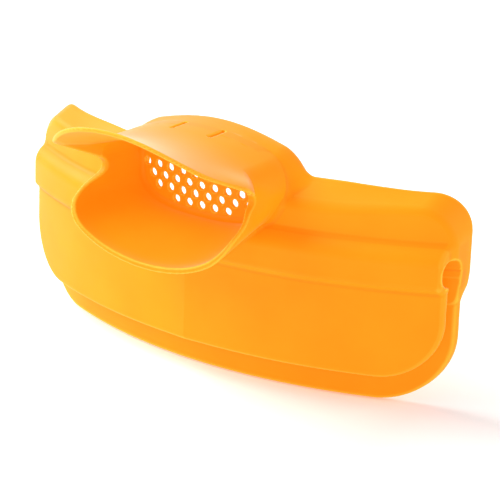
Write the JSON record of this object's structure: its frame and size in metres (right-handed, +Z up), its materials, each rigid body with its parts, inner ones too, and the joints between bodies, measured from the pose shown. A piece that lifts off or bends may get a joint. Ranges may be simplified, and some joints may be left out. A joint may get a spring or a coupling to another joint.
{
  "type": "clip-on pot strainer spout",
  "caption": "Flexible silicone pour spout with a built-in strainer, clipped over the rim of a cooking pot by two curved slotted wings.",
  "frame": {"origin": "centre of the pot's rolled rim in the clip's bulb, at the middle of the part", "axes": "+Z up, -Y out of the pot in the pouring direction, +X to the right seen from the front"},
  "size_m": [0.1446, 0.0606, 0.0761],
  "materials": {
    "silicone": "satin moulded silicone"
  },
  "bodies": {
    "spout": {"scoop": "silicone", "hood": "silicone", "strainer_panel": "silicone", "left_cheek": "silicone", "right_cheek": "silicone", "centre_rim_channel": "silicone", "centre_inner_skirt": "silicone", "centre_skirt_left": "silicone", "centre_skirt_right": "silicone"},
    "left_wing": {"left_outer_skirt": "silicone", "left_inner_skirt": "silicone", "left_rim_channel": "silicone", "left_upper_wall": "silicone"},
    "right_wing": {"right_outer_skirt": "silicone", "right_inner_skirt": "silicone", "right_rim_channel": "silicone", "right_upper_wall": "silicone"}
  },
  "joints": [
    {"name": "right_wing_flex", "type": "hinge", "parent": "spout", "child": "right_wing", "pos_m": [0.038, 0.0065, 0], "axis": [0, 0, 1], "range_deg": [-6, 10], "stiffness_Nm_per_rad": 0.5},
    {"name": "left_wing_flex", "type": "hinge", "parent": "spout", "child": "left_wing", "pos_m": [-0.038, 0.0065, 0], "axis": [0, 0, -1], "range_deg": [-6, 10], "stiffness_Nm_per_rad": 0.5}
  ]
}
